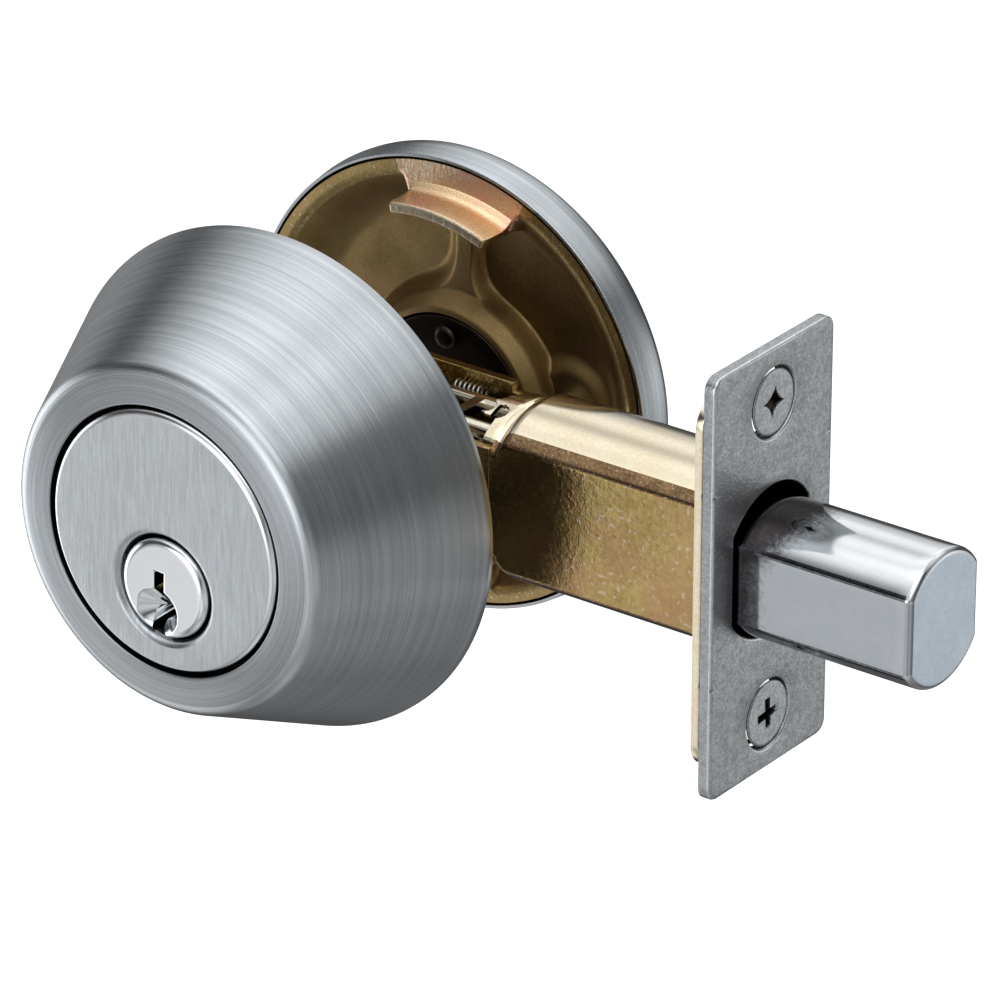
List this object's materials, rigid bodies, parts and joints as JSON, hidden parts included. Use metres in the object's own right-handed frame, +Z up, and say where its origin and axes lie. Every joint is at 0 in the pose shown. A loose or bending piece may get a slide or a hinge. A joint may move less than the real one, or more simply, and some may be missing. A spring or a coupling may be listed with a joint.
{
  "type": "deadbolt door lock",
  "caption": "Tubular deadbolt: tapered key cylinder collar outside, dished thumbturn rose inside, crank case and tube carrying a square-thrown steel bolt through an edge plate.",
  "frame": {"origin": "where the axis of the 54 mm face bore crosses the axis of the bolt bore, half way through the door", "axes": "+X the way the bolt is thrown, -Y the key side of the door, +Y the thumbturn side, +Z up"},
  "size_m": [0.1212, 0.085, 0.0664],
  "materials": {
    "satin_nickel": "satin nickel plate with fine brush lines",
    "pewter": "tumbled grey nickel plate with bright worn edges",
    "polished_chrome": "polished chrome plate",
    "yellow_zinc": "yellow chromate on zinc plate, slightly pebbled, with pink and green tints",
    "bronze_zinc": "yellow-brown chromate on cast zinc, fine grain, pink on the worked faces",
    "dark_steel": "dark oiled steel",
    "pin_brass": "plain brass",
    "plain_steel": "zinc plated steel"
  },
  "bodies": {
    "lock_case": {"cylinder_collar": "satin_nickel", "collar_support_ring": "plain_steel", "cylinder_housing": "satin_nickel", "pin_chamber_cap": "pin_brass", "drill_pin_left": "plain_steel", "drill_pin_right": "plain_steel", "driver_pin_1": "pin_brass", "pin_spring_1": "plain_steel", "driver_pin_2": "pin_brass", "pin_spring_2": "plain_steel", "driver_pin_3": "pin_brass", "pin_spring_3": "plain_steel", "driver_pin_4": "pin_brass", "pin_spring_4": "plain_steel", "driver_pin_5": "pin_brass", "pin_spring_5": "plain_steel", "tailpiece_cap": "pin_brass", "crank_case_near": "yellow_zinc", "crank_case_far": "yellow_zinc", "case_spacer_1": "plain_steel", "case_spacer_2": "plain_steel", "case_spacer_3": "plain_steel", "detent_spring": "plain_steel", "bolt_tube": "yellow_zinc", "faceplate": "pewter", "back_plate": "yellow_zinc", "faceplate_screw_upper": "pewter", "faceplate_screw_lower": "pewter", "mounting_plate": "bronze_zinc", "rose_cover": "satin_nickel", "spindle_plate": "dark_steel", "plate_rivet_1": "dark_steel", "plate_rivet_2": "dark_steel", "plate_rivet_3": "dark_steel", "spring_washer": "plain_steel", "mounting_screw_left": "plain_steel", "mounting_screw_right": "plain_steel"},
    "bolt": {"bolt": "polished_chrome", "bolt_hardened_pin": "plain_steel", "bolt_tail": "plain_steel", "bolt_tail_block": "plain_steel", "bolt_tail_pin": "plain_steel"},
    "crank": {"crank": "plain_steel"},
    "thumbturn": {"tailpiece": "plain_steel", "thumbturn_spindle": "plain_steel", "thumbturn": "satin_nickel", "thumbturn_pin": "plain_steel"},
    "key_plug": {"key_plug": "polished_chrome", "plug_retainer_clip": "plain_steel", "key_pin_1": "pin_brass", "key_pin_2": "pin_brass", "key_pin_3": "pin_brass", "key_pin_4": "pin_brass", "key_pin_5": "pin_brass"}
  },
  "joints": [
    {"name": "bolt_slide", "type": "slide", "parent": "lock_case", "child": "bolt", "axis": [1, 0, 0], "range_m": [-0.0254, 0]},
    {"name": "crank_turn", "type": "hinge", "parent": "lock_case", "child": "crank", "pos_m": [0, 0, -0.00645], "axis": [0, 1, 0], "range_deg": [-90, 0]},
    {"name": "thumbturn_turn", "type": "hinge", "parent": "lock_case", "child": "thumbturn", "pos_m": [0, 0.03, -0.00645], "axis": [0, 1, 0], "range_deg": [-90, 0]},
    {"name": "key_plug_turn", "type": "hinge", "parent": "lock_case", "child": "key_plug", "pos_m": [0, -0.028, -0.00645], "axis": [0, 1, 0], "range_deg": [-95, 95]}
  ],
  "couplings": [
    {"joint": "crank_turn", "follows": "bolt_slide", "rad_per_m": 61.84},
    {"joint": "thumbturn_turn", "follows": "bolt_slide", "rad_per_m": 61.84}
  ]
}
